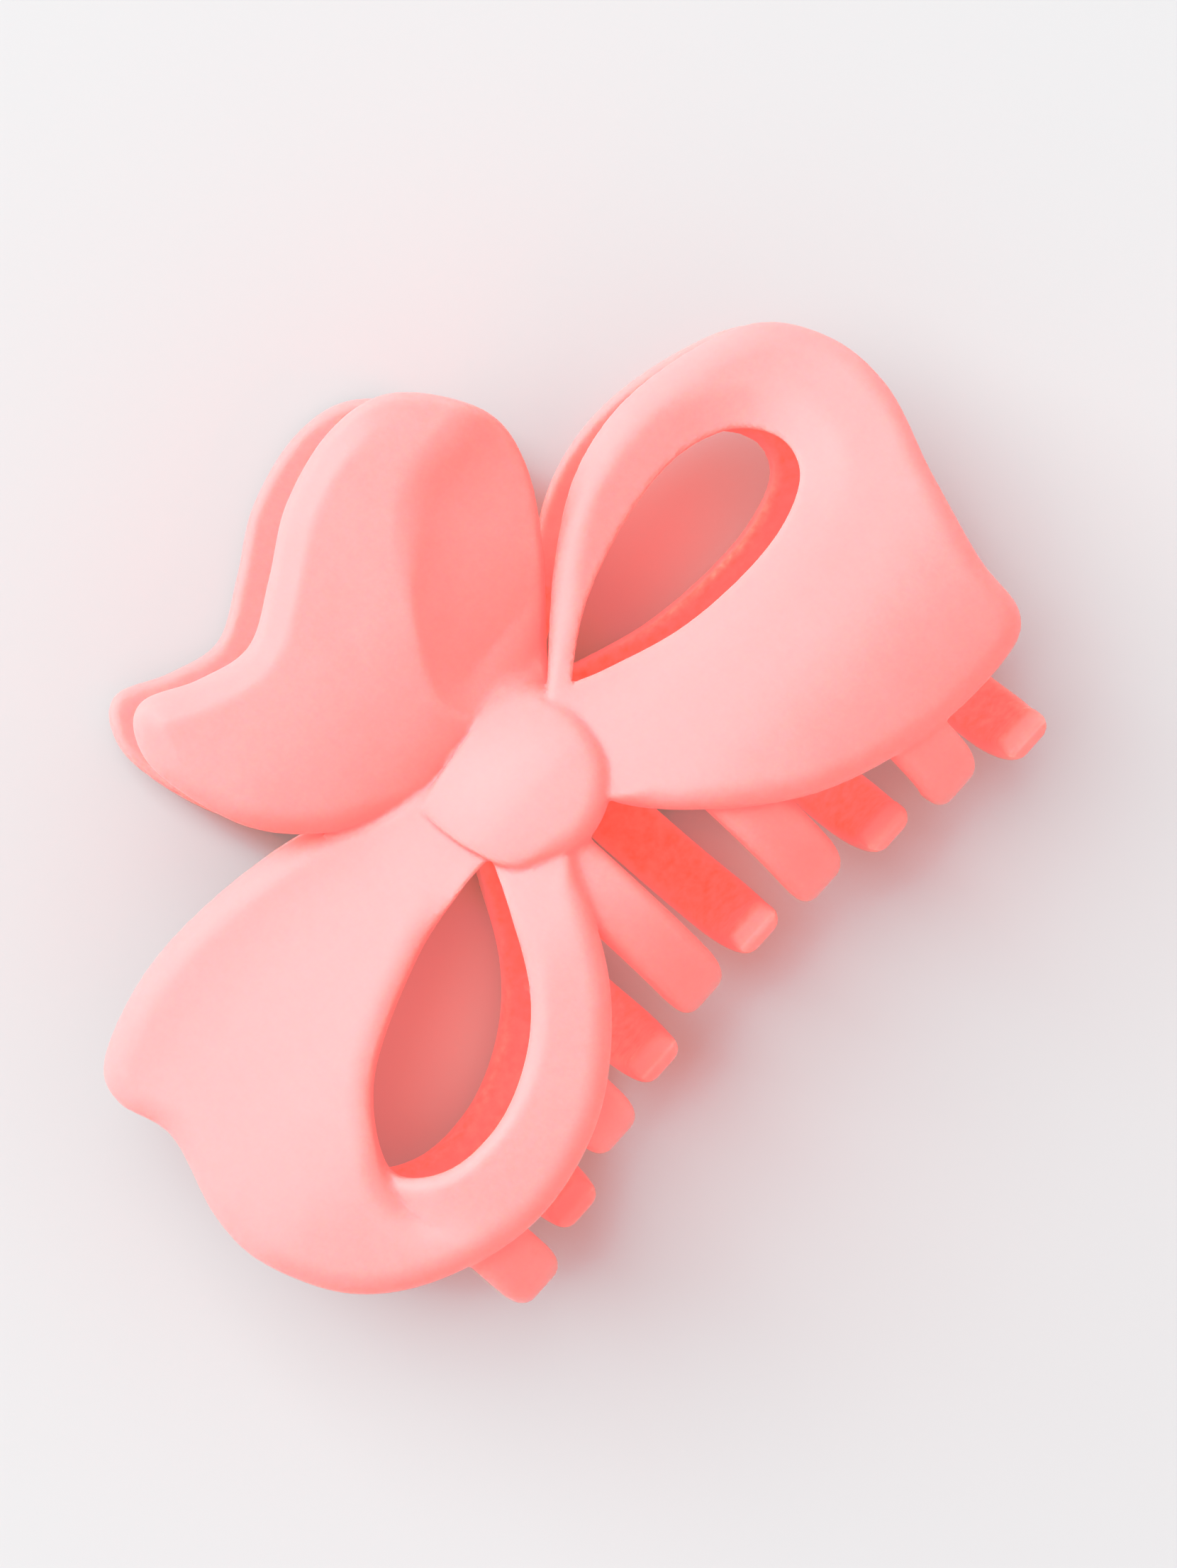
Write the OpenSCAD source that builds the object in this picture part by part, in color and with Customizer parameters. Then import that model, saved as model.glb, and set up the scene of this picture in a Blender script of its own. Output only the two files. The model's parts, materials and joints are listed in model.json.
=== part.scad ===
// Bow-shaped claw hair clip: two mirrored jaws on one sprung hinge, teeth interleaved.
// Clip axes: X along the row of teeth, Y from the teeth to the handles, Z across the jaws.
// The jaws are drawn about the hinge axis, then set down with the back jaw on z = 0.

/* [Jaws] */
// Wall thickness of the loops and handles
wall = 3; // [2.4:0.1:3.4]
// Height of the outer surface above the middle plane, at its fullest
jaw_height = 18.5; // [18:0.1:19]
// Radius of the curve across the jaw, from loop to loop
barrel_radius = 160; // [155:1:200]
// Radius of the knot's dome
knot_radius = 10; // [9.5:0.1:11]
// Width of the knot
knot_width = 15.7; // [15:0.1:16.5]
// Depth of the hollow in the handle lobe
dish_depth = 4; // [3:0.1:4.5]
// How far the back jaw's left lobe sits nearer the teeth than the front one's
back_lobe_shift = 1.6; // [0:0.2:1.6]
// Size of the back jaw's left hole against the front one's
back_hole = 1.1; // [1:0.02:1.1]

/* [Teeth] */
// Width of a tooth
tooth_width = 5.9; // [5:0.1:6.2]
// Thickness of a tooth
tooth_thickness = 3; // [2.5:0.1:3.2]
// Distance between a front tooth and the back tooth beside it
tooth_pitch = 7.3; // [7:0.1:7.5]
// Outer radius of the curl of the middle teeth
tooth_radius = 17.3; // [17:0.1:17.6]
// Angle that a tooth curls on past upright
tooth_curl = 12; // [6:1:16]

/* [Hinge] */
// Diameter of the hinge pin
pin_diameter = 2; // [1.8:0.1:2.2]
// Length of the hinge pin
pin_length = 15.6; // [15.2:0.1:16]
// Radial running clearance of the pin in the front jaw's lugs
pin_clearance = 0.05; // [0.02:0.01:0.1]
// Radius of the round end of a lug
lug_radius = 3; // [2.6:0.1:3.2]
// Thickness of a lug
lug_thickness = 2; // [1.8:0.1:2]

/* [Spring] */
// Diameter of the spring wire
wire_diameter = 0.8; // [0.6:0.1:0.9]
// Radius of the coil to the middle of the wire
coil_radius = 2.2; // [2:0.1:2.4]
// Distance from one turn to the next
coil_pitch = 1; // [0.95:0.05:1.05]
// Whole turns of the coil
coil_turns = 4; // [3:1:4]

/* [Hidden] */
$fn = 48;
plastic = [1, 0.7, 0.68];
steel = "silver";

// Outlines as seen from the front, as points that a smooth closed curve passes through
left_loop = [
    [-3, 2.5], [-8, 4.5], [-17, 10.5], [-26, 12.5], [-35, 12.5], [-43, 10], [-45.2, 6.5], [-44.3, 1],
    [-47, -6.5], [-47.2, -12.5], [-44, -20], [-37.5, -25], [-28, -27.5], [-18, -25.3], [-9.5, -19],
    [-4, -11], [-1, -4]
];
right_loop = [
    [3, 0.5], [8, 3.5], [16, 10], [24, 14], [33, 14.5], [43.5, 11], [47.8, 5], [48, -2], [44.5, -10],
    [41.7, -18], [40.8, -24], [37, -26], [27, -25], [16, -20.5], [7, -12.5], [3, -6]
];
left_hole = [
    [-8, -3.2], [-10.2, -7.5], [-14, -13], [-18.5, -16.6], [-24, -18.7], [-29.5, -18.5], [-33, -16],
    [-32.5, -13], [-29, -9], [-24, -6.3], [-17, -4], [-11, -2.8]
];
right_hole = [
    [10, 2.4], [15.5, 5.5], [23, 7.7], [30, 8], [35.3, 6], [37.7, 2.3], [36.5, -1], [32, -2.7],
    [26, -2.9], [19, -1.9], [13, 0.2]
];
handle_lobe = [
    [-1, 1], [-8, 4.5], [-15, 9], [-19.7, 15], [-21.5, 23], [-20.6, 27.5], [-17.8, 29.4], [-13, 27],
    [-8, 25.7], [-2.5, 28.3], [3.5, 31.6], [11, 33], [17, 31], [21.2, 24], [20.3, 18], [15.5, 11.5],
    [9, 5.8], [4, 1.5]
];
dish = [
    [2, 5.5], [0.9, 9], [2.5, 14.5], [6.5, 20], [12, 24.2], [17.5, 24.7], [19.6, 21], [17.5, 15.7],
    [12.5, 11], [6.5, 7]
];
curve_steps = 4;
back_lobe_way = [0.35, -1];

// Outer surface on the middle line, as [y, height above the middle plane]
loop_profile = [
    [17.4, 13], [12.2, 13.3], [6.3, 13.9], [0.2, 15.4], [-7.3, 17.5], [-13.2, jaw_height],
    [-19.2, jaw_height - 0.5], [-25.4, jaw_height - 2.6], [-30.6, jaw_height - 6]
];
handle_profile = [
    [35.4, jaw_height + 0.3], [29.2, 18], [22.3, 17.3], [15.3, 16.5], [9.4, 15.6], [4.2, 14.2], [-1.2, 12]
];
profile_steps = 3;

// The curve across the jaw
barrel_axis = barrel_radius - jaw_height;
barrel_angle = 44;
block_height = 30;

// The knot and what is under it
knot_middle = [-0.2, -1];
knot_centre_z = jaw_height - knot_radius;
web_floor = 10.5;
dish_floor_wall = 2.5;
dish_bulge_top = 1;
dish_cut_top = 2;
dish_rim = 1.14;

// Teeth
row_centre = 0.5;
front_teeth = [-4.5, -2.5, -0.5, 1.5, 3.5];
back_teeth = [-3.5, -1.5, 0.5, 2.5, 4.5];
tooth_axis_z = -1;
shortest_reach = 27;
reach_slope = 0.12;
reach_bend = 0.0028;
root_inner = 8;
root_outer = 21.6;
hole_edge_slope = 1.05;
hole_edge_start = 4.6;
join = 0.01;

// Hinge
press_radius = pin_diameter / 2;
running_radius = press_radius + pin_clearance;
back_lug_x = 3.2;
lug_gap = 0.2;
front_lug_x = back_lug_x + lug_thickness + lug_gap;
lug_root = 1.5;
lug_top = web_floor + lug_root;

// Spring: each leg leaves the coil on a tangent and ends under a jaw's web
leg_gap = 0.15;
leg_end = [3.3, web_floor - wire_diameter / 2 - leg_gap];
leg_angle = atan2(leg_end[1], leg_end[0]) + acos(coil_radius / norm(leg_end));
coil_sweep = 360 * coil_turns + 360 - 2 * leg_angle;
coil_width = coil_pitch * coil_sweep / 360;
turn_steps = 18;
coil_rings = ceil(turn_steps * coil_sweep / 360);
wire_sides = 8;

// Where the assembly stands: middle of its outline over the origin, lowest point at z = 0
middle_x = 0.46;
middle_y = -0.56;

function catmull(a, b, c, d, t) =
    0.5 * (2 * b + (c - a) * t + (2 * a - 5 * b + 4 * c - d) * t * t
    + (3 * b - a - 3 * c + d) * t * t * t);
function closed_curve(p) = [
    for (i = [0 : len(p) - 1], s = [0 : curve_steps - 1])
    let (n = len(p))
    catmull(p[(i + n - 1) % n], p[i], p[(i + 1) % n], p[(i + 2) % n], s / curve_steps)
];
function open_curve(p) = [
    for (i = [0 : len(p) - 2], s = [0 : profile_steps - (i == len(p) - 2 ? 0 : 1)])
    let (last = len(p) - 1)
    catmull(p[max(i - 1, 0)], p[i], p[i + 1], p[min(i + 2, last)], s / profile_steps)
];
function middle(p) = [for (k = [0, 1]) (max([for (q = p) q[k]]) + min([for (q = p) q[k]])) / 2];
function grown(p, f) = [for (q = p) middle(p) + f * (q - middle(p))];
function moved(p, shift) = [for (q = p) q + shift];
function reversed(p) = [for (i = [len(p) - 1 : -1 : 0]) p[i]];
function drop(x) = barrel_radius - sqrt(barrel_radius * barrel_radius - x * x);
function reach(x) = shortest_reach + reach_slope * abs(x) + reach_bend * x * x;
// Where a tooth starts: the middle two under the knot, those of the left loop beyond its hole
function left_root_y(x, arc_y) = min(arc_y, max(-root_outer, hole_edge_slope * x - hole_edge_start));
function root_y(x, arc_y) =
    abs(x) < knot_width / 2 ? -root_inner : x > 0 ? arc_y : left_root_y(x, arc_y);

// Turns a flat [y, height] shape about the barrel's axis, into a surface curved across the jaw
module barrel() {
    translate([0, 0, -barrel_axis])
        rotate([-90, 0, 0])
            rotate([0, 0, -90 - barrel_angle / 2])
                rotate_extrude(angle = barrel_angle, $fn = 180)
                    children();
}

// A curved wall between two depths below the surface that a profile gives
module curved_wall(profile, top, bottom) {
    line = open_curve(profile);
    outer = [for (q = line) [q[1] + barrel_axis - top, q[0]]];
    inner = [for (q = line) [q[1] + barrel_axis - bottom, q[0]]];
    barrel()
        polygon(concat(outer, reversed(inner)));
}

module outline(points) {
    polygon(closed_curve(points));
}

module prism(points) {
    linear_extrude(block_height)
        outline(points);
}

// Both loops are one wall, so that they join under the knot. The left one can sit a little to one side
module loops(shift, hole) {
    intersection() {
        curved_wall(loop_profile, 0, wall);
        linear_extrude(block_height)
            difference() {
                union() {
                    outline(moved(left_loop, shift));
                    outline(right_loop);
                }
                outline(grown(left_hole, hole));
                outline(right_hole);
            }
    }
}

module handle() {
    difference() {
        union() {
            intersection() {
                curved_wall(handle_profile, 0, wall);
                prism(handle_lobe);
            }
            intersection() {
                curved_wall(handle_profile, dish_bulge_top, dish_depth + dish_floor_wall);
                prism(grown(dish, dish_rim));
            }
        }
        intersection() {
            curved_wall(handle_profile, -dish_cut_top, dish_depth);
            prism(dish);
        }
    }
}

module knot() {
    translate([knot_middle[0], knot_middle[1], 0])
        intersection() {
            translate([0, 0, knot_centre_z])
                sphere(knot_radius, $fn = 96);
            translate([0, 0, web_floor])
                cylinder(d = knot_width, h = jaw_height, $fn = 96);
        }
}

module bow(shift, hole) {
    loops(shift, hole);
    handle();
    knot();
}

module tooth(x) {
    radius = tooth_radius - drop(x);
    arc_y = radius - reach(x);
    root = root_y(x, arc_y);
    start = max(0, asin((arc_y - root) / radius));
    bar = max(0, root - arc_y);
    translate([x, arc_y, tooth_axis_z])
        rotate([0, 90, 0])
            rotate([0, 0, 180 + start])
                rotate_extrude(angle = 90 + tooth_curl - start, $fn = 96)
                    translate([radius - tooth_thickness, -tooth_width / 2])
                        square([tooth_thickness, tooth_width]);
    if (bar > 0)
        translate([x - tooth_width / 2, arc_y - join, tooth_axis_z + radius - tooth_thickness])
            cube([tooth_width, bar + join, tooth_thickness]);
}

module teeth(places) {
    for (i = places)
        tooth(row_centre + i * tooth_pitch);
}

// Two lugs that hang from the knot to the hinge axis, without their bore
module lugs(inner_x) {
    for (x = [inner_x, -inner_x - lug_thickness]) {
        translate([x, 0, 0])
            rotate([0, 90, 0])
                cylinder(r = lug_radius, h = lug_thickness);
        translate([x, -lug_radius, 0])
            cube([lug_thickness, 2 * lug_radius, lug_top]);
    }
}

module axle_bore(r) {
    translate([-pin_length, 0, 0])
        rotate([0, 90, 0])
            cylinder(r = r, h = 2 * pin_length);
}

module set_down() {
    translate([-middle_x, -middle_y, jaw_height])
        children();
}

// Ring of points about a place on the wire; u and v are the directions across it
function ring(c, u, v) = [
    for (k = [0 : wire_sides - 1])
    let (a = 360 * k / wire_sides)
    c + wire_diameter / 2 * (u * cos(a) + v * sin(a))
];
function coil_at(s) =
    let (a = leg_angle + coil_sweep * s)
    [-coil_width / 2 + coil_width * s, coil_radius * cos(a), coil_radius * sin(a)];
function coil_out(s) =
    let (a = leg_angle + coil_sweep * s)
    [0, cos(a), sin(a)];
function leg_tip(side) = [side * coil_width / 2, leg_end[0], -side * leg_end[1]];

module torsion_spring() {
    rings = concat(
        [ring(leg_tip(-1), [1, 0, 0], coil_out(0))],
        [for (i = [0 : coil_rings]) ring(coil_at(i / coil_rings), [1, 0, 0], coil_out(i / coil_rings))],
        [ring(leg_tip(1), [1, 0, 0], coil_out(1))]
    );
    last = len(rings) - 1;
    sides = [
        for (i = [0 : last - 1], k = [0 : wire_sides - 1])
        let (a = i * wire_sides + k, b = i * wire_sides + (k + 1) % wire_sides)
        [a, a + wire_sides, b + wire_sides, b]
    ];
    start_cap = [for (k = [0 : wire_sides - 1]) k];
    end_cap = [for (k = [wire_sides - 1 : -1 : 0]) last * wire_sides + k];
    color(steel)
        set_down()
            polyhedron([for (r = rings, q = r) q], concat([start_cap, end_cap], sides));
}

module hinge_pin() {
    color(steel)
        set_down()
            translate([-pin_length / 2, 0, 0])
                rotate([0, 90, 0])
                    cylinder(d = pin_diameter, h = pin_length);
}

module front_jaw() {
    color(plastic)
        set_down()
            difference() {
                union() {
                    bow([0, 0], 1);
                    teeth(front_teeth);
                    lugs(front_lug_x);
                }
                axle_bore(running_radius);
            }
}

module back_jaw() {
    color(plastic)
        set_down()
            mirror([0, 0, 1])
                difference() {
                    union() {
                        bow(back_lobe_shift * back_lobe_way, back_hole);
                        teeth(back_teeth);
                        lugs(back_lug_x);
                    }
                    axle_bore(press_radius);
                }
}

front_jaw();
back_jaw();
hinge_pin();
torsion_spring();
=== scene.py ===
import json
import math
import bpy
import numpy as np
from mathutils import Matrix, Vector


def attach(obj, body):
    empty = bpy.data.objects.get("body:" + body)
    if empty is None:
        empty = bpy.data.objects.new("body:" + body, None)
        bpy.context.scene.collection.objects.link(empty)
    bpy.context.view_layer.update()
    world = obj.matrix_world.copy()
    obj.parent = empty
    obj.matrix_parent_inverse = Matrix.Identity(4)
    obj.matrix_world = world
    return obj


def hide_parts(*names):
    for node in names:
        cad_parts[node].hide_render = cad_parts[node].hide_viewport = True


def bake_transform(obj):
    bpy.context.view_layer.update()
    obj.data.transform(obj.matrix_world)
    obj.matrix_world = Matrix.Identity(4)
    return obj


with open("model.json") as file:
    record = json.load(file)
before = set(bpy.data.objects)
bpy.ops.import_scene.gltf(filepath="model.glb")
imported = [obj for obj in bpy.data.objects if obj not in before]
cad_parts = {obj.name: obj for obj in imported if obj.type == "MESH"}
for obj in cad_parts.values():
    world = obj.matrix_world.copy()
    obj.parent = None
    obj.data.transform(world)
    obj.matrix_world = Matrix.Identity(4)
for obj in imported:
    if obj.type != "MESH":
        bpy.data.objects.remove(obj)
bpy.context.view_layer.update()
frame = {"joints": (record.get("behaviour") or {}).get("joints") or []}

# Bow-shaped claw hair clip. Shapes are worked out in millimetres about the hinge axis:
# X along the row of teeth, Y from the teeth to the handles, Z from the middle plane to the front jaw.
# The back jaw is the mirror image in the middle plane, with its own teeth and lugs.
MM = 0.001
HINGE = Vector(frame["joints"][0]["pos_m"])

# ---------------------------------------------------------------- dimensions

# Outlines of the bow in the XY plane. Each is a smooth closed curve through its points. The loops, the
# handle, the roll and the dish run on under the knot or past an edge, where they don't show.
LEFT_LOOP = [
    (-3, 3.5), (-9, 6.3), (-17, 10.6), (-26, 12.5), (-35, 12.5), (-43, 10), (-45.2, 6.5), (-44.3, 1),
    (-47, -6.5), (-47.2, -12.5), (-44, -20), (-37.5, -25), (-28, -27.5), (-18, -25.3), (-9.5, -19),
    (-4, -11), (-1, -4),
]
RIGHT_LOOP = [
    (3, 0.5), (7.8, 3.7), (16, 10), (24, 14), (33, 14.5), (43.5, 11), (47.8, 5), (48, -2), (44.5, -10),
    (41.7, -18), (40.8, -24), (37, -26), (27, -25), (16, -20.5), (7, -12.5), (3, -6),
]
LEFT_HOLE = [
    (-7.5, -2.8), (-7.7, -3.4), (-10, -7.3), (-14, -13), (-18.5, -16.6), (-24, -18.7), (-29.5, -18.5),
    (-33, -16), (-32.5, -13), (-29, -9), (-24, -6.3), (-17, -4), (-11, -2.8),
]
ROLL = [
    (-7.5, -2.8), (-11, -2.8), (-17, -4), (-24, -6.3), (-29, -9), (-32.6, -12.8), (-34.4, -15.6),
    (-35, -18.5), (-34.4, -21.5), (-31, -27), (-20, -30), (-6, -25), (0, -12), (-3, -5),
]
RIGHT_HOLE = [
    (9.5, 1.8), (9.4, 2.3), (15.3, 5.6), (23, 7.7), (30, 8), (35.3, 6), (37.7, 2.3), (36.5, -1), (32, -2.7),
    (26, -2.9), (19, -1.9), (13, 0.2),
]
HANDLE = [
    (-1, 1), (-8, 4.5), (-15, 9), (-19.7, 15), (-21.5, 23), (-20.6, 27.5), (-17.8, 29.4), (-13, 27),
    (-8, 25.7), (-2.5, 28.3), (3.5, 31.6), (11, 33), (17, 31), (21.2, 24), (20.3, 18), (15.6, 11.4),
    (9.4, 5.3), (4.5, 1),
]
DISH = [(3, 3), (-0.2, 9), (2.5, 15), (8, 21), (15, 24.5), (30, 22), (34, 9), (26, -4), (10, -4)]
KNOT = [
    (-8.1, 4.7), (-7.6, 4.9), (-3, 5.5), (2, 5.9), (6.6, 5), (7.9, 0.5), (5.6, -5.6), (-0.3, -8.1),
    (-6.1, -5.6), (-8.1, -0.5), (-8.3, 4.3),
]

JAW_HEIGHT = 18.5
BARREL_RADIUS = 160
BARREL_AXIS = BARREL_RADIUS - JAW_HEIGHT
WALL = 3

# Heights of the outer surface at X = 0, as (Y, height)
LOOP_PROFILE = [
    (17.4, 13), (12.2, 13.3), (6.3, 13.9), (0.2, 15.4), (-7.3, 17.5), (-13.2, 18.5), (-19.2, 18),
    (-25.4, 15.9), (-30.6, 12.5),
]
HANDLE_PROFILE = [
    (35.4, 18.5), (29.2, 18.4), (22.3, 18), (15.3, 17.3), (9.4, 15.6), (4.2, 12.9), (-1.2, 9.6),
]

# How the back jaw's left lobe and hole differ, and how the handles part
BACK_LOBE_SHIFT = (0.56, -1.6)
BACK_HOLE = 1.1
HANDLE_SPREAD = (0.27, -0.3)

ROLL_DROP = 1.3
STRIP_TILT = 0.32
COVERED_DROP = 3.4
BEVEL_WIDTH = 2.4
BEVEL_SLOPE = 0.5
DISH_DEPTH = 5.8
DISH_REACH = 8
DISH_BULGE = 5

KNOT_MIDDLE = (-0.2, -1)
KNOT_RADIUS = 8
KNOT_CORNER_WAY = (-0.81, 0.585)
KNOT_EDGE_RISE = 0.4
KNOT_RISE = 2.3
WEB_FLOOR = 10.5
INNER_ROUND = 0.8
HOLE_DRAFT = 0.14

ROW_CENTRE = 0.5
TOOTH_PITCH = 7.3
TOOTH_WIDTH = 5.9
TOOTH_THICKNESS = 3
TOOTH_RADIUS = 17.3
TOOTH_AXIS_Z = -1
TOOTH_END = math.radians(102)
TOOTH_TAPER = 0.5
TOOTH_ROOT_ROUND = 0.3
TOOTH_OUTER_ROUND = 1.4
TOOTH_INNER_ROUND = 1.1
TIP_RIDGE = 0.65

# How far the row reaches from the hinge, growing away from the middle
ROW_REACH = 27
ROW_REACH_SLOPE = 0.12
ROW_REACH_BOW = 0.0028

# Where the teeth start: under the knot, and below the left hole
KNOT_REACH = 7.8
ROOT_UNDER_KNOT = -6
ROOT_OUTER = -21.6
HOLE_EDGE_SLOPE = 1.05
HOLE_EDGE_START = 4.6

# Places of the teeth in the row, in pitches from its middle
FRONT_TEETH = (-4.5, -2.5, -0.5, 1.5, 3.5)
BACK_TEETH = (-3.5, -1.5, 0.5, 2.5, 4.5)

PIN_RADIUS = 1
PIN_LENGTH = 15.6
PIN_CLEARANCE = 0.05
PIN_CHAMFER = 0.2
LUG_RADIUS = 3
LUG_THICKNESS = 2
BACK_LUG_X = 3.2
FRONT_LUG_X = BACK_LUG_X + LUG_THICKNESS + 0.2
LUG_TOP = WEB_FLOOR + 1.5
LUG_ROUND = 0.3
FILLET = 0.6
BORE_ROUND = 0.15

WIRE_RADIUS = 0.4
COIL_RADIUS = 2.2
COIL_PITCH = 1
COIL_TURNS = 4
COIL_STEP = math.radians(9)
LEG_STEPS = 12
LEG_END = (3.3, WEB_FLOOR - WIRE_RADIUS - 0.15)

# Sizes of the grids that the jaws are worked out on
CELL = 0.38
MAP_CELL = 0.25
GRID_LOW = (-49, -35.5, -6.5)
GRID_HIGH = (49.4, 35, 20)

# ---------------------------------------------------------------- shapes as distances


def smooth_step(low, high, value):
    t = np.clip((value - low) / (high - low), 0, 1)
    return t * t * (3 - 2 * t)


def soft_ramp(value, width):
    """Like the larger of value and 0, with its corner rounded over width on each side."""
    middle = (value + width) ** 2 / (4 * width)
    return np.where(value > width, value, np.where(value < -width, 0, middle))


def round_max(a, b, radius):
    """What two shapes have in common, with its edge rounded."""
    outside = np.hypot(np.maximum(a + radius, 0), np.maximum(b + radius, 0))
    return np.minimum(np.maximum(a, b), -radius) + outside


def soft_min(a, b, width):
    """Two shapes joined, with a fillet."""
    h = np.maximum(width - np.abs(a - b), 0) / width
    return np.minimum(a, b) - h * h * width / 4


def catmull(a, b, c, d, t):
    return 0.5 * (2 * b + (c - a) * t + (2 * a - 5 * b + 4 * c - d) * t**2 + (3 * b - a - 3 * c + d) * t**3)


def closed_curve(points, steps=10):
    p = np.array(points, float)
    a, b, c, d = (np.roll(p, s, axis=0)[:, None] for s in (1, 0, -1, -2))
    t = (np.arange(steps) / steps)[None, :, None]
    return catmull(a, b, c, d, t).reshape(-1, 2)


def open_curve(points, steps=24):
    p = np.array([points[0], *points, points[-1]], float)
    a, b, c, d = (p[s : len(p) - 3 + s][:, None] for s in range(4))
    t = (np.arange(steps + 1) / steps)[None, :, None]
    return catmull(a, b, c, d, t).reshape(-1, 2)


def signed_distance(x, y, points):
    """Distance to a closed curve in the XY plane, negative inside it."""
    line = closed_curve(points)
    nearest = np.full(x.shape, 1e9)
    inside = np.zeros(x.shape, bool)
    for (ax, ay), (bx, by) in zip(line, np.roll(line, -1, axis=0)):
        dx = bx - ax
        dy = by - ay
        t = np.clip(((x - ax) * dx + (y - ay) * dy) / (dx * dx + dy * dy), 0, 1)
        nearest = np.minimum(nearest, (x - ax - t * dx) ** 2 + (y - ay - t * dy) ** 2)
        if dy:
            inside ^= ((ay > y) != (by > y)) & (x < ax + (y - ay) * dx / dy)
    return np.where(inside, -1, 1) * np.sqrt(nearest)


def drop(x):
    return BARREL_RADIUS - np.sqrt(BARREL_RADIUS**2 - x * x)


def barrel_height(profile, x, y):
    line = open_curve(profile)[::-1]
    height = np.interp(y, line[:, 0], line[:, 1])
    return np.sqrt((height + BARREL_AXIS) ** 2 - x * x) - BARREL_AXIS


def steepness(height):
    """Cosine of a surface's slope, which turns a height above it into a distance from it."""
    gx, gy = np.gradient(height, MAP_CELL)
    return 1 / np.sqrt(1 + gx * gx + gy * gy)


# ---------------------------------------------------------------- the bow, as maps over X and Y


def grown(points, share):
    """An outline made larger about the middle of its own box."""
    p = np.array(points, float)
    middle = (p.min(axis=0) + p.max(axis=0)) / 2
    return middle + share * (p - middle)


def loop_maps(x, y, shift, hole):
    left = signed_distance(x - shift[0], y - shift[1], LEFT_LOOP)
    right = signed_distance(x, y, RIGHT_LOOP)
    left_hole = signed_distance(x, y, grown(LEFT_HOLE, hole))
    right_hole = signed_distance(x, y, RIGHT_HOLE)
    base = barrel_height(LOOP_PROFILE, x, y)

    # The left strip stays flatter past its crest
    past_crest = np.maximum(-15 - y, 0) * smooth_step(2, -6, x)
    flat = barrel_height(LOOP_PROFILE, x, y + 0.6 * past_crest)

    # The left lobe rolls down into its hole on the handle side, and the roll goes on past the far end
    roll = signed_distance(x, y, ROLL)
    fade = smooth_step(3, 10, np.hypot(x + 7.5, y + 2.8)) * smooth_step(-24.5, -17, y)
    near_roll = np.where(roll > 0, np.clip(1 - roll / 3, 0, 1), np.clip(1 + roll / 4.5, 0, 1))
    dip = ROLL_DROP * fade * near_roll**2
    roll_side = smooth_step(1.5, 0, roll) * fade

    # The right strip tilts down to its hole, and so does the outer end
    near_axis = 0.05 * (x - 10) + y - 2.4
    tilt_side = smooth_step(-9, 1, near_axis + 0.35 * np.maximum(x - 33, 0))
    dip += STRIP_TILT * tilt_side * soft_ramp(4 - right_hole, 0.9) * smooth_step(6, 14, x)

    # Outer edges are rolled, except near the knot
    rolled = smooth_step(8, 17, np.hypot(x, y + 1) + 0.8 * np.minimum(y, 0))
    top = flat - dip
    return {
        "loop_top": top,
        "loop_lean": steepness(top),
        "loop_bottom": base - WALL - 0.5 * dip,
        "loop_edge": soft_min(left, right, 1.0),
        "loop_round": 0.5 + 2 * np.maximum(rolled, smooth_step(-6, -10, y)),
        "hole_edge": -np.minimum(left_hole, right_hole),
        "hole_round": 0.35 + 1.3 * roll_side,
    }


def handle_maps(x, y, spread):
    edge = signed_distance(x - spread[0], y - spread[1], HANDLE)
    dish = signed_distance(x, y, DISH)
    base = barrel_height(HANDLE_PROFILE, x, y)

    # A bevel follows the outer edge and goes round the tip
    facing_y = np.gradient(edge, MAP_CELL)[1]
    bevel_side = smooth_step(-0.35, 0.3, facing_y) * (1 - smooth_step(9, 17, x))
    bevel = BEVEL_SLOPE * bevel_side * soft_ramp(BEVEL_WIDTH + edge, 0.3)

    # The dish falls away from a crisp fold to the other edge of the lobe
    fold = 0.35 + 1.5 * smooth_step(17, 23, y)
    hollow = DISH_DEPTH * (1 - np.exp(-soft_ramp(-dish, fold) / DISH_REACH)) * smooth_step(1, 6, y)
    top = base - bevel - hollow
    bulge = np.minimum(hollow + 0.4 * smooth_step(1, -1, dish), DISH_BULGE)
    return {
        "handle_top": top,
        "handle_lean": steepness(top),
        "handle_bottom": base - WALL - bulge,
        "handle_edge": edge,
        "handle_round": 2.4 - 1.6 * np.maximum(bevel_side, smooth_step(2, 8, x)),
    }


def knot_maps(x, y):
    """A dome on the loops, drawn out towards the corner between the left loop and the handle."""
    from_x = x - KNOT_MIDDLE[0]
    from_y = y - KNOT_MIDDLE[1]
    along = KNOT_CORNER_WAY[0] * from_x + KNOT_CORNER_WAY[1] * from_y
    across = KNOT_CORNER_WAY[1] * from_x - KNOT_CORNER_WAY[0] * from_y
    away = np.hypot(np.where(along > 0, along / 1.35, along), across)
    rise = KNOT_EDGE_RISE + KNOT_RISE * (1 - (away / KNOT_RADIUS) ** 2)
    top = barrel_height(LOOP_PROFILE, x, y) + np.maximum(rise, -1) - 0.12 * np.maximum(y + 1, 0)
    top = soft_min(top, JAW_HEIGHT, 1.6)
    far_side = smooth_step(-5, 4, x - y)
    return {
        "knot_top": top,
        "knot_lean": steepness(top),
        "knot_edge": signed_distance(x, y, KNOT),
        "knot_round": 0.3 + 2.2 * far_side,
        "knot_blend": 0.3 + 1.5 * smooth_step(-1, 4, x) * smooth_step(3, 6, y),
    }


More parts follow.
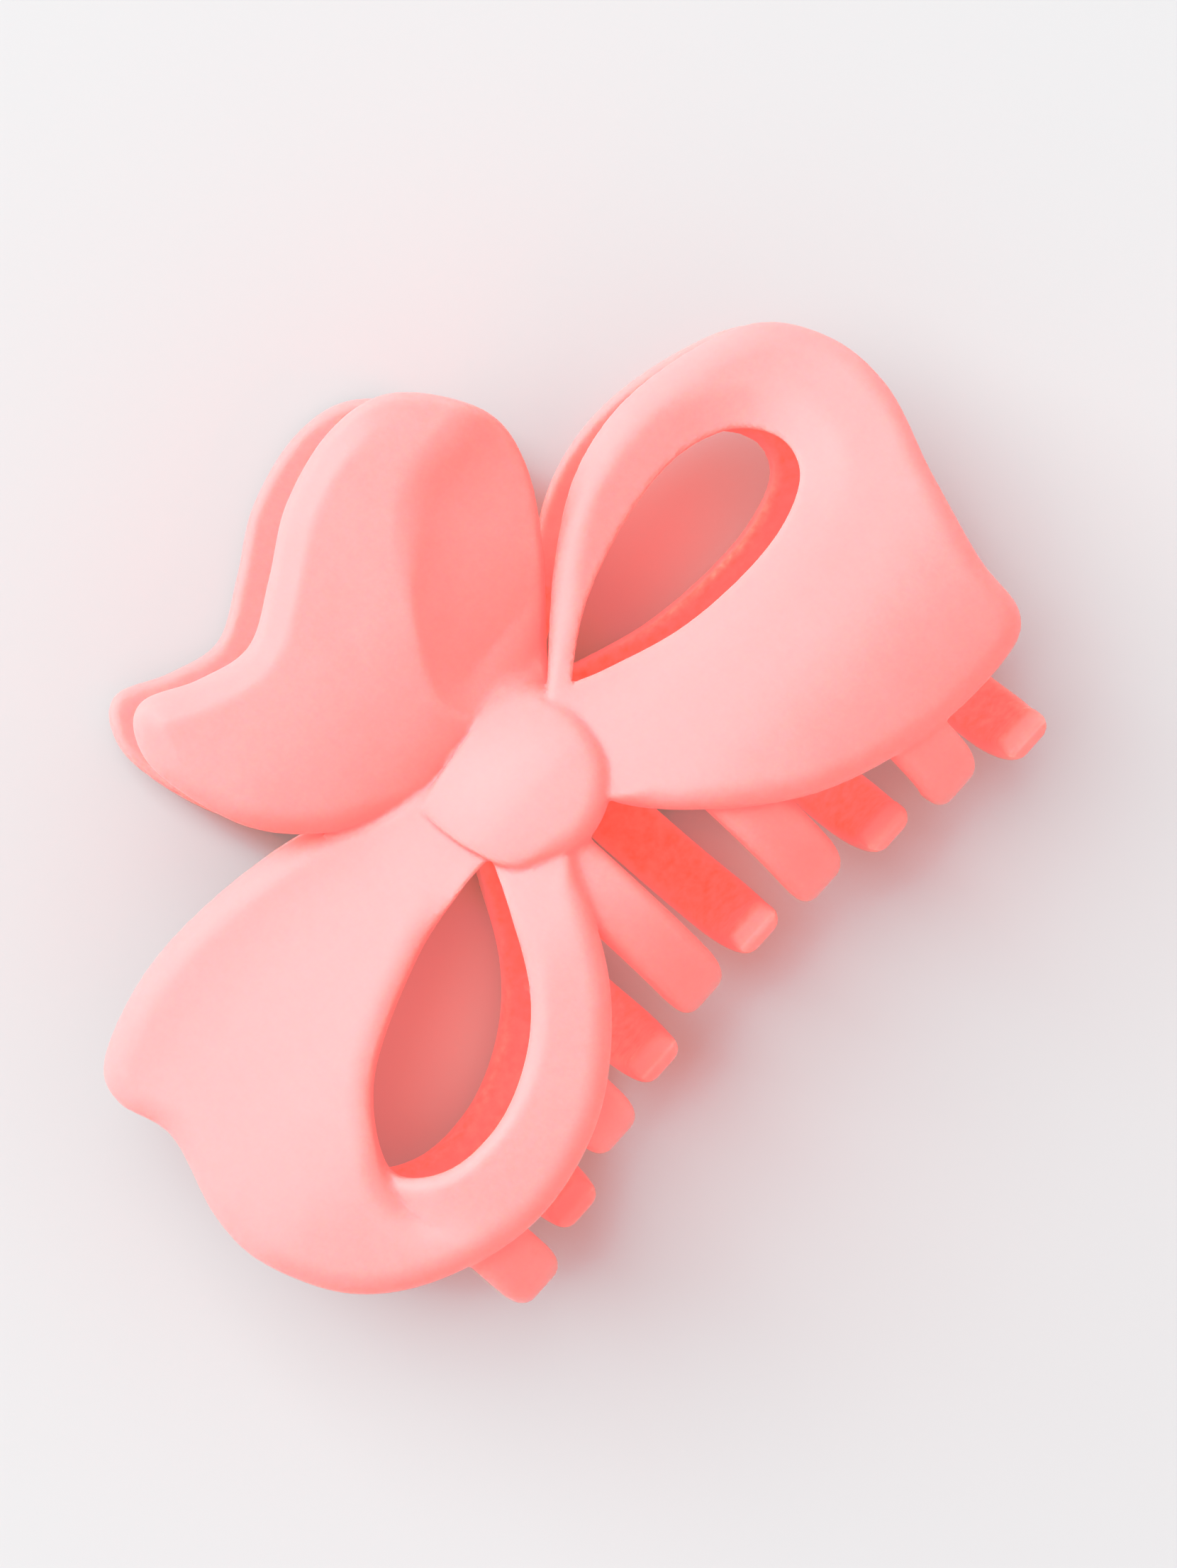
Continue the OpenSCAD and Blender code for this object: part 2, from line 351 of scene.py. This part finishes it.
class Maps:
    """The bow's maps, read between their grid points."""

    def __init__(self, shift, hole, spread):
        xs = np.arange(GRID_LOW[0] - 1, GRID_HIGH[0] + 1, MAP_CELL)
        ys = np.arange(GRID_LOW[1] - 1, GRID_HIGH[1] + 1, MAP_CELL)
        x, y = np.meshgrid(xs, ys, indexing="ij")
        maps = loop_maps(x, y, shift, hole) | handle_maps(x, y, spread) | knot_maps(x, y)

        # The right strip stays below the dish where the handle covers it
        under_handle = smooth_step(0.3, -1.2, maps["handle_edge"])
        covered = under_handle * smooth_step(4, 7, y) * smooth_step(0, 3, x)
        maps["loop_top"] -= COVERED_DROP * covered
        self.low = (xs[0], ys[0])
        self.names = list(maps)
        self.stack = np.stack([maps[n] for n in self.names], axis=-1)

    def at(self, x, y):
        u = (x - self.low[0]) / MAP_CELL
        v = (y - self.low[1]) / MAP_CELL
        i = np.clip(np.floor(u).astype(int), 0, self.stack.shape[0] - 2)
        j = np.clip(np.floor(v).astype(int), 0, self.stack.shape[1] - 2)
        fu = (u - i)[..., None]
        fv = (v - j)[..., None]
        near = self.stack[i, j] * (1 - fv) + self.stack[i, j + 1] * fv
        far = self.stack[i + 1, j] * (1 - fv) + self.stack[i + 1, j + 1] * fv
        return dict(zip(self.names, np.moveaxis(near * (1 - fu) + far * fu, -1, 0)))


def bow_distance(m, z):
    """Loops, handle and knot, each cut from above, at its edge and from below, and then joined."""
    loops = round_max((z - m["loop_top"]) * m["loop_lean"], m["loop_edge"], m["loop_round"])
    hole = m["hole_edge"] + HOLE_DRAFT * (m["loop_top"] - z)
    loops = round_max(loops, hole, m["hole_round"])
    loops = round_max(loops, m["loop_bottom"] - z, INNER_ROUND)
    handle = round_max((z - m["handle_top"]) * m["handle_lean"], m["handle_edge"], m["handle_round"])
    handle = round_max(handle, m["handle_bottom"] - z, INNER_ROUND)
    knot = round_max((z - m["knot_top"]) * m["knot_lean"], m["knot_edge"], m["knot_round"])
    knot = round_max(knot, WEB_FLOOR - z, INNER_ROUND)
    return soft_min(soft_min(loops, handle, 0.5), knot, m["knot_blend"])


def tooth_distance(centre, x, y, z):
    """A band curled about an axis along X, and the straight bar that carries a middle tooth."""
    radius = TOOTH_RADIUS - drop(centre)
    axis_y = radius - (ROW_REACH + ROW_REACH_SLOPE * abs(centre) + ROW_REACH_BOW * centre * centre)
    under_knot = abs(centre) < KNOT_REACH
    if under_knot:
        root = ROOT_UNDER_KNOT
    elif centre > 0:
        root = axis_y
    else:
        root = min(axis_y, max(ROOT_OUTER, HOLE_EDGE_SLOPE * centre - HOLE_EDGE_START))
    across = y - axis_y
    rise = z - TOOTH_AXIS_Z
    middle = radius - TOOTH_THICKNESS / 2
    bar = across > 0
    off_middle = np.where(bar, rise, np.hypot(across, rise)) - middle
    along = np.where(bar, -across, np.arctan2(-across, rise) * middle)
    taper = TOOTH_TAPER * smooth_step(0.55, 1, along / (TOOTH_END * middle))
    side = np.abs(x - centre) - TOOTH_WIDTH / 2 + taper
    band = round_max(off_middle - TOOTH_THICKNESS / 2, side, TOOTH_OUTER_ROUND)
    band = round_max(band, -TOOTH_THICKNESS / 2 - off_middle, TOOTH_INNER_ROUND)

    # The end is cut by two facets that meet in a ridge
    past_end = along - TOOTH_END * middle
    from_ridge = off_middle - TIP_RIDGE
    facets = past_end + np.maximum(-0.2 * from_ridge, 0.9 * from_ridge)
    band = round_max(band, 0.9 * facets, 0.3 + 0.6 * smooth_step(0.3, -0.8, off_middle))
    past_root = y - root if under_knot else 0.7 * (y - root + TOOTH_THICKNESS / 2 - off_middle)
    return round_max(band, past_root, TOOTH_ROOT_ROUND)


def lug_distance(inner_x, x, y, z):
    side = np.abs(np.abs(x) - inner_x - LUG_THICKNESS / 2) - LUG_THICKNESS / 2
    upright = round_max(np.abs(y) - LUG_RADIUS, np.maximum(-z, z - LUG_TOP), 0.1)
    return round_max(np.minimum(np.hypot(y, z) - LUG_RADIUS, upright), side, LUG_ROUND)


def jaw_distance(maps, x, y, z, teeth, lug_x, bore):
    shape = bow_distance(maps.at(x, y), z)
    for place in teeth:
        tooth = tooth_distance(ROW_CENTRE + place * TOOTH_PITCH, x, y, z)
        shape = soft_min(shape, tooth, FILLET)
    shape = soft_min(shape, lug_distance(lug_x, x, y, z), FILLET)
    return round_max(shape, bore - np.hypot(y, z), BORE_ROUND)


# ---------------------------------------------------------------- meshes


def surface_net(field):
    """The zero surface of a field on a grid, with one point per crossed cell, counted in cells."""
    inside = field < 0
    size = np.array(field.shape) - 1
    count = np.zeros(size, np.int8)
    corners = [(a, b, c) for a in (0, 1) for b in (0, 1) for c in (0, 1)]
    for a, b, c in corners:
        count += inside[a : size[0] + a, b : size[1] + b, c : size[2] + c]
    active = (count > 0) & (count < 8)
    index = np.full(active.shape, -1)
    index[active] = np.arange(active.sum())
    cells = np.stack(np.nonzero(active), axis=1)
    total = np.zeros(cells.shape)
    hits = np.zeros(len(cells))
    for axis in range(3):
        step = np.eye(3, dtype=int)[axis]
        for corner in corners:
            if corner[axis]:
                continue
            start = cells + np.array(corner)
            a = field[tuple(start.T)]
            b = field[tuple((start + step).T)]
            hit = (a < 0) != (b < 0)
            total[hit] += start[hit] + step * (a[hit] / (a[hit] - b[hit]))[:, None]
            hits += hit
    quads = []
    for axis in range(3):
        step = np.eye(3, dtype=int)[axis]
        side_a = np.eye(3, dtype=int)[(axis + 1) % 3]
        side_b = np.eye(3, dtype=int)[(axis + 2) % 3]
        low = side_a + side_b
        starts = inside[tuple(slice(*pair) for pair in zip(low, size))]
        ends = inside[tuple(slice(*pair) for pair in zip(low + step, size + step))]
        for leaving in (True, False):
            nodes = np.stack(np.nonzero((starts == leaving) & (ends != leaving)), axis=1) + low
            ring = [nodes, nodes - side_a, nodes - side_a - side_b, nodes - side_b]
            ring = ring if leaving else ring[::-1]
            quads.append(np.stack([index[tuple(r.T)] for r in ring], axis=1))
    return total / hits[:, None], np.concatenate(quads)


def settled(points, distance):
    """Points moved onto the exact surface."""
    ways = np.array([(1, -1, -1), (-1, -1, 1), (-1, 1, -1), (1, 1, 1)])
    reach = 0.03
    for _ in range(3):
        slope = sum(way * distance(*(points + reach * way).T)[:, None] for way in ways) / (4 * reach)
        off = distance(*points.T) / np.maximum((slope**2).sum(axis=1), 0.05)
        points = points - np.clip(off, -0.3, 0.3)[:, None] * slope
    return points


def linked_object(name, mesh):
    mesh.shade_smooth()
    obj = bpy.data.objects.new(name, mesh)
    bpy.context.scene.collection.objects.link(obj)
    return obj


def mesh_object(name, points, quads):
    """A smooth mesh from points in millimetres about the hinge axis."""
    mesh = bpy.data.meshes.new(name)
    mesh.vertices.add(len(points))
    mesh.vertices.foreach_set("co", (points * MM + np.array(HINGE)).astype(np.float32).ravel())
    mesh.loops.add(quads.size)
    mesh.loops.foreach_set("vertex_index", quads.astype(np.int32).ravel())
    mesh.polygons.add(len(quads))
    mesh.polygons.foreach_set("loop_start", np.arange(0, quads.size, quads.shape[1], dtype=np.int32))
    mesh.update(calc_edges=True)
    mesh.validate()
    return linked_object(name, mesh)


def mark_shaded_inside(mesh, points):
    """Marks how far each point faces the hinge axis, for the painted shade inside a jaw: a darker, redder
    colour there, mottled like a moulded inner face.
    """
    normals = np.empty(points.size)
    mesh.vertex_normals.foreach_get("vector", normals)
    normals = normals.reshape(-1, 3)
    facing = -(normals[:, 1:] * points[:, 1:]).sum(axis=1) / np.hypot(points[:, 1], points[:, 2])
    inside = mesh.attributes.new("inside", "FLOAT", "POINT")
    inside.data.foreach_set("value", smooth_step(0.45, 0.95, facing).astype(np.float32))


def make_jaw(name, maps, teeth, lug_x, bore, mirrored):
    axes = [np.arange(GRID_LOW[k], GRID_HIGH[k], CELL) for k in range(3)]
    grid = np.meshgrid(*axes, indexing="ij", sparse=True)
    field = jaw_distance(maps, *grid, teeth, lug_x, bore)
    cells, quads = surface_net(field)
    points = cells * CELL + np.array(GRID_LOW)
    points = settled(points, lambda x, y, z: jaw_distance(maps, x, y, z, teeth, lug_x, bore))
    if mirrored:
        points = points * (1, 1, -1)
        quads = quads[:, ::-1]
    jaw = mesh_object(name, points, quads)
    mark_shaded_inside(jaw.data, points)
    return jaw


def swept_tube(name, path, radius, sides=20):
    """A round bar along a path, with closed ends, from points in millimetres about the hinge axis."""
    path = np.array(path, float)
    along = np.gradient(path, axis=0)
    along /= np.linalg.norm(along, axis=1)[:, None]
    normal = np.cross(along[0], (1, 0, 0))
    if np.linalg.norm(normal) < 0.1:
        normal = np.cross(along[0], (0, 1, 0))
    rings = []
    for point, way, r in zip(path, along, np.broadcast_to(radius, len(path))):
        normal = normal - way * (normal @ way)
        normal = normal / np.linalg.norm(normal)
        other = np.cross(way, normal)
        turn = np.linspace(0, 2 * math.pi, sides, endpoint=False)[:, None]
        rings.append(point + r * (np.cos(turn) * normal + np.sin(turn) * other))
    points = np.concatenate([*rings, path[:1], path[-1:]])
    last = (len(rings) - 1) * sides
    end = last + sides
    faces = []
    for low in range(0, last, sides):
        for k in range(sides):
            n = (k + 1) % sides
            faces.append((low + k, low + n, low + sides + n, low + sides + k))
    faces += [((k + 1) % sides, k, end) for k in range(sides)]
    faces += [(last + k, last + (k + 1) % sides, end + 1) for k in range(sides)]
    mesh = bpy.data.meshes.new(name)
    mesh.from_pydata([tuple(p) for p in points * MM + np.array(HINGE)], [], faces)
    mesh.update()
    return linked_object(name, mesh)


def make_pin():
    half = PIN_LENGTH / 2
    stations = [(half, 0.6), (half - 0.01, 0.8), (half - PIN_CHAMFER, 1), (half - 1, 1)]
    stations = [(-x, r) for x, r in stations] + [(0, 1)] + stations[::-1]
    path = [(x, 0, 0) for x, _ in stations]
    radius = np.array([r for _, r in stations]) * PIN_RADIUS
    return swept_tube("hinge_pin_turned", path, radius, sides=48)


def make_spring():
    """The coil, and a straight leg that touches it at each end and rests on a jaw."""
    leg_angle = math.atan2(LEG_END[1], LEG_END[0]) + math.acos(COIL_RADIUS / math.hypot(*LEG_END))
    sweep = 2 * math.pi * (COIL_TURNS + 1) - 2 * leg_angle
    width = COIL_PITCH * sweep / (2 * math.pi)
    coil_steps = int(sweep / COIL_STEP)

    def on_coil(share):
        angle = leg_angle + sweep * share
        x = -width / 2 + width * share
        return np.array((x, COIL_RADIUS * math.cos(angle), COIL_RADIUS * math.sin(angle)))

    start = np.array((-width / 2, *LEG_END))
    leg = [start + (on_coil(0) - start) * (i / LEG_STEPS) for i in range(LEG_STEPS)]
    coil = [on_coil(i / coil_steps) for i in range(coil_steps + 1)]
    path = leg + coil + [p * (-1, 1, -1) for p in reversed(leg)]
    return swept_tube("torsion_spring_wire", path, WIRE_RADIUS), width


# ---------------------------------------------------------------- materials

CORAL = ((0.985, 0.355, 0.35), (0.995, 0.363, 0.358))
# Darker, redder coral for the faces inside a jaw: painted shade, with a mottle like a moulded inner face
SHADED_MOTTLED_CORAL = ((0.95, 0.25, 0.21), (0.99, 0.38, 0.35))
PIN_STEEL = (0.6, 0.6, 0.61)
SPRING_STEEL = (0.5, 0.5, 0.52)
FLOOR_COLOUR = (0.6, 0.593, 0.596, 1)
EVENLY = (1, 1, 1)
ALONG_X = (60, 1500, 1500)


def new_material(name):
    material = bpy.data.materials.new(name)
    material.use_nodes = True
    return material, material.node_tree, material.node_tree.nodes["Principled BSDF"]


def patches(tree, place, stretch, scale):
    """Soft noise over an object, finer along the axes with the larger stretch."""
    mapping = tree.nodes.new("ShaderNodeMapping")
    mapping.inputs["Scale"].default_value = stretch
    noise = tree.nodes.new("ShaderNodeTexNoise")
    noise.inputs["Scale"].default_value = scale
    noise.inputs["Detail"].default_value = 4
    tree.links.new(place.outputs["Object"], mapping.inputs["Vector"])
    tree.links.new(mapping.outputs["Vector"], noise.inputs["Vector"])
    return noise.outputs["Fac"]


def vary(tree, amount, socket, low, high):
    """Varies a shader input between two colours, or two greys for a plain value."""
    ramp = tree.nodes.new("ShaderNodeValToRGB")
    for element, position, colour in zip(ramp.color_ramp.elements, (0.3, 0.7), (low, high)):
        element.position = position
        element.color = (*colour, 1)
    tree.links.new(amount, ramp.inputs["Fac"])
    tree.links.new(ramp.outputs["Color"], socket)


def soft_touch_plastic():
    material, tree, shader = new_material("soft_touch_plastic")
    shader.inputs["Specular IOR Level"].default_value = 0.35
    shader.inputs["Subsurface Weight"].default_value = 0.8
    shader.inputs["Subsurface Radius"].default_value = (1.0, 0.2, 0.15)
    shader.inputs["Subsurface Scale"].default_value = 0.006
    shader.inputs["Sheen Weight"].default_value = 0.1
    shader.inputs["Sheen Roughness"].default_value = 0.5
    place = tree.nodes.new("ShaderNodeTexCoord")
    grain = tree.nodes.new("ShaderNodeTexNoise")
    grain.inputs["Scale"].default_value = 2500
    grain.inputs["Detail"].default_value = 3
    bump = tree.nodes.new("ShaderNodeBump")
    bump.inputs["Strength"].default_value = 0.08
    bump.inputs["Distance"].default_value = 0.0001
    tree.links.new(place.outputs["Object"], grain.inputs["Vector"])
    tree.links.new(grain.outputs["Fac"], bump.inputs["Height"])
    tree.links.new(bump.outputs["Normal"], shader.inputs["Normal"])
    flow = patches(tree, place, EVENLY, 140)
    vary(tree, flow, shader.inputs["Roughness"], (0.45,) * 3, (0.58,) * 3)

    # Painted shade, with a mottle: darker and redder on the faces marked as facing the hinge axis, where
    # shade falls inside a jaw; the mottle is the moulded inner finish
    inside = tree.nodes.new("ShaderNodeAttribute")
    inside.attribute_name = "inside"
    shaded_mottle_mix = tree.nodes.new("ShaderNodeMix")
    shaded_mottle_mix.data_type = "RGBA"
    outside_colour, shaded_mottle_colour = (i for i in shaded_mottle_mix.inputs if i.type == "RGBA")
    vary(tree, flow, outside_colour, *CORAL)
    vary(tree, patches(tree, place, EVENLY, 1100), shaded_mottle_colour, *SHADED_MOTTLED_CORAL)
    tree.links.new(inside.outputs["Fac"], shaded_mottle_mix.inputs["Factor"])
    tree.links.new(next(o for o in shaded_mottle_mix.outputs if o.type == "RGBA"), shader.inputs["Base Color"])
    return material


def drawn_steel(name, colour):
    """Bright steel with fine lines along X, the way of the pin and the coil's axis."""
    material, tree, shader = new_material(name)
    shader.inputs["Metallic"].default_value = 1
    place = tree.nodes.new("ShaderNodeTexCoord")
    lines = patches(tree, place, ALONG_X, 1)
    vary(tree, lines, shader.inputs["Base Color"], [0.85 * c for c in colour], colour)
    vary(tree, lines, shader.inputs["Roughness"], (0.22,) * 3, (0.42,) * 3)
    bump = tree.nodes.new("ShaderNodeBump")
    bump.inputs["Strength"].default_value = 0.15
    bump.inputs["Distance"].default_value = 0.00005
    tree.links.new(lines, bump.inputs["Height"])
    tree.links.new(bump.outputs["Normal"], shader.inputs["Normal"])
    return material


def floor_material():
    material, _, shader = new_material("pale_floor")
    shader.inputs["Base Color"].default_value = FLOOR_COLOUR
    shader.inputs["Roughness"].default_value = 0.9
    shader.inputs["Specular IOR Level"].default_value = 0.1
    return material


# ---------------------------------------------------------------- camera, lights and floor

VIEW_TURN = math.radians(48)
VIEW_LEAN = (-0.11, 0.035)
VIEW_TARGET = (3.96, -6.49, 0)
VIEW_DISTANCE = 650
VIEW_LENS = 166.1

FLOOR_SIZE = 6
COOL_LIGHT = (0.7, 1, 1)
LAMP_RED = (1, 0.03, 0.02)
WORLD_COLOUR = (1, 0.83, 0.83, 1)
WORLD_STRENGTH = 1.04

# Curves of the view settings, for all channels (3) and for blue (2), as (value in, value shown)
VIEW_CURVES = {
    3: [(0.15, 0.125), (0.25, 0.168), (0.35, 0.235), (0.45, 0.375), (0.53, 0.52), (0.7, 0.7), (0.88, 0.86)],
    2: [(0.14, 0.108), (0.25, 0.225), (0.33, 0.31), (0.45, 0.45)],
}


def in_metres(point):
    return Vector(point) * MM + HINGE


def view_axes():
    right = Vector((math.cos(VIEW_TURN), -math.sin(VIEW_TURN), 0))
    up = Vector((math.sin(VIEW_TURN), math.cos(VIEW_TURN), 0))
    out = (Vector((0, 0, 1)) + VIEW_LEAN[0] * right + VIEW_LEAN[1] * up).normalized()
    return right, up, out


def make_camera():
    right, up, out = view_axes()
    across = up.cross(out).normalized()
    camera = bpy.data.objects.new("camera", bpy.data.cameras.new("camera"))
    camera.data.lens = VIEW_LENS
    camera.data.sensor_width = 36
    camera.data.clip_start = 0.01
    turn = Matrix((across, out.cross(across), out)).transposed().to_4x4()
    camera.matrix_world = Matrix.Translation(in_metres(Vector(VIEW_TARGET) + VIEW_DISTANCE * out)) @ turn
    bpy.context.scene.collection.objects.link(camera)
    bpy.context.scene.camera = camera


def make_light(name, left, high, up_picture, size, power):
    """A square soft box, so many metres to the left, above the clip and up the picture."""
    right, up, _ = view_axes()
    light = bpy.data.objects.new(name, bpy.data.lights.new(name, "AREA"))
    light.data.size = size
    light.data.energy = power
    light.data.color = COOL_LIGHT
    light.location = HINGE - right * left + up * up_picture + Vector((0, 0, high))
    light.rotation_euler = (light.location - HINGE).to_track_quat("Z", "Y").to_euler()
    bpy.context.scene.collection.objects.link(light)


def make_glow(name, x, y, power):
    """A small red lamp between the jaws, for the light that a real clip's thin walls let through."""
    lamp = bpy.data.objects.new(name, bpy.data.lights.new(name, "POINT"))
    lamp.data.shadow_soft_size = 0.004
    lamp.data.energy = power
    lamp.data.color = LAMP_RED
    lamp.location = in_metres((x, y, 0))
    lamp.visible_camera = False
    bpy.context.scene.collection.objects.link(lamp)


def make_stage():
    bpy.ops.mesh.primitive_plane_add(size=FLOOR_SIZE)
    floor = bpy.context.object
    floor.name = "floor"
    floor.data.materials.append(floor_material())
    make_light("key", left=1.25, high=2.4, up_picture=0.85, size=2.2, power=60)
    make_light("low_key", left=2.2, high=0.95, up_picture=1.2, size=1.6, power=30)
    make_glow("glow_left", -22, -10, 0.004)
    make_glow("glow_right", 25, 2, 0.006)
    world = bpy.data.worlds.new("studio")
    bpy.context.scene.world = world
    world.use_nodes = True
    background = world.node_tree.nodes["Background"]
    background.inputs["Color"].default_value = WORLD_COLOUR
    background.inputs["Strength"].default_value = WORLD_STRENGTH
    view = bpy.context.scene.view_settings
    view.view_transform = "Standard"
    view.use_curve_mapping = True
    for channel, points in VIEW_CURVES.items():
        for value, shown in points:
            view.curve_mapping.curves[channel].points.new(value, shown)
    view.curve_mapping.update()


# ---------------------------------------------------------------- the clip


def finish_piece(piece, material, node):
    piece.data.materials.append(material)
    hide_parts(node)


def make_clip():
    plastic = soft_touch_plastic()
    front_maps = Maps((0, 0), 1, HANDLE_SPREAD)
    back_maps = Maps(BACK_LOBE_SHIFT, BACK_HOLE, [-way for way in HANDLE_SPREAD])
    free_bore = PIN_RADIUS + PIN_CLEARANCE
    front = make_jaw("front_jaw_moulding", front_maps, FRONT_TEETH, FRONT_LUG_X, free_bore, mirrored=False)
    back = make_jaw("back_jaw_moulding", back_maps, BACK_TEETH, BACK_LUG_X, PIN_RADIUS, mirrored=True)
    finish_piece(front, plastic, "front_jaw")
    finish_piece(back, plastic, "back_jaw")
    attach(front, "front")
    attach(back, "back")
    pin = make_pin()
    finish_piece(pin, drawn_steel("pin_steel", PIN_STEEL), "hinge_pin")
    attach(pin, "back")
    spring, width = make_spring()
    finish_piece(spring, drawn_steel("spring_steel", SPRING_STEEL), "torsion_spring")
    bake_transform(spring)


make_camera()
make_stage()
make_clip()
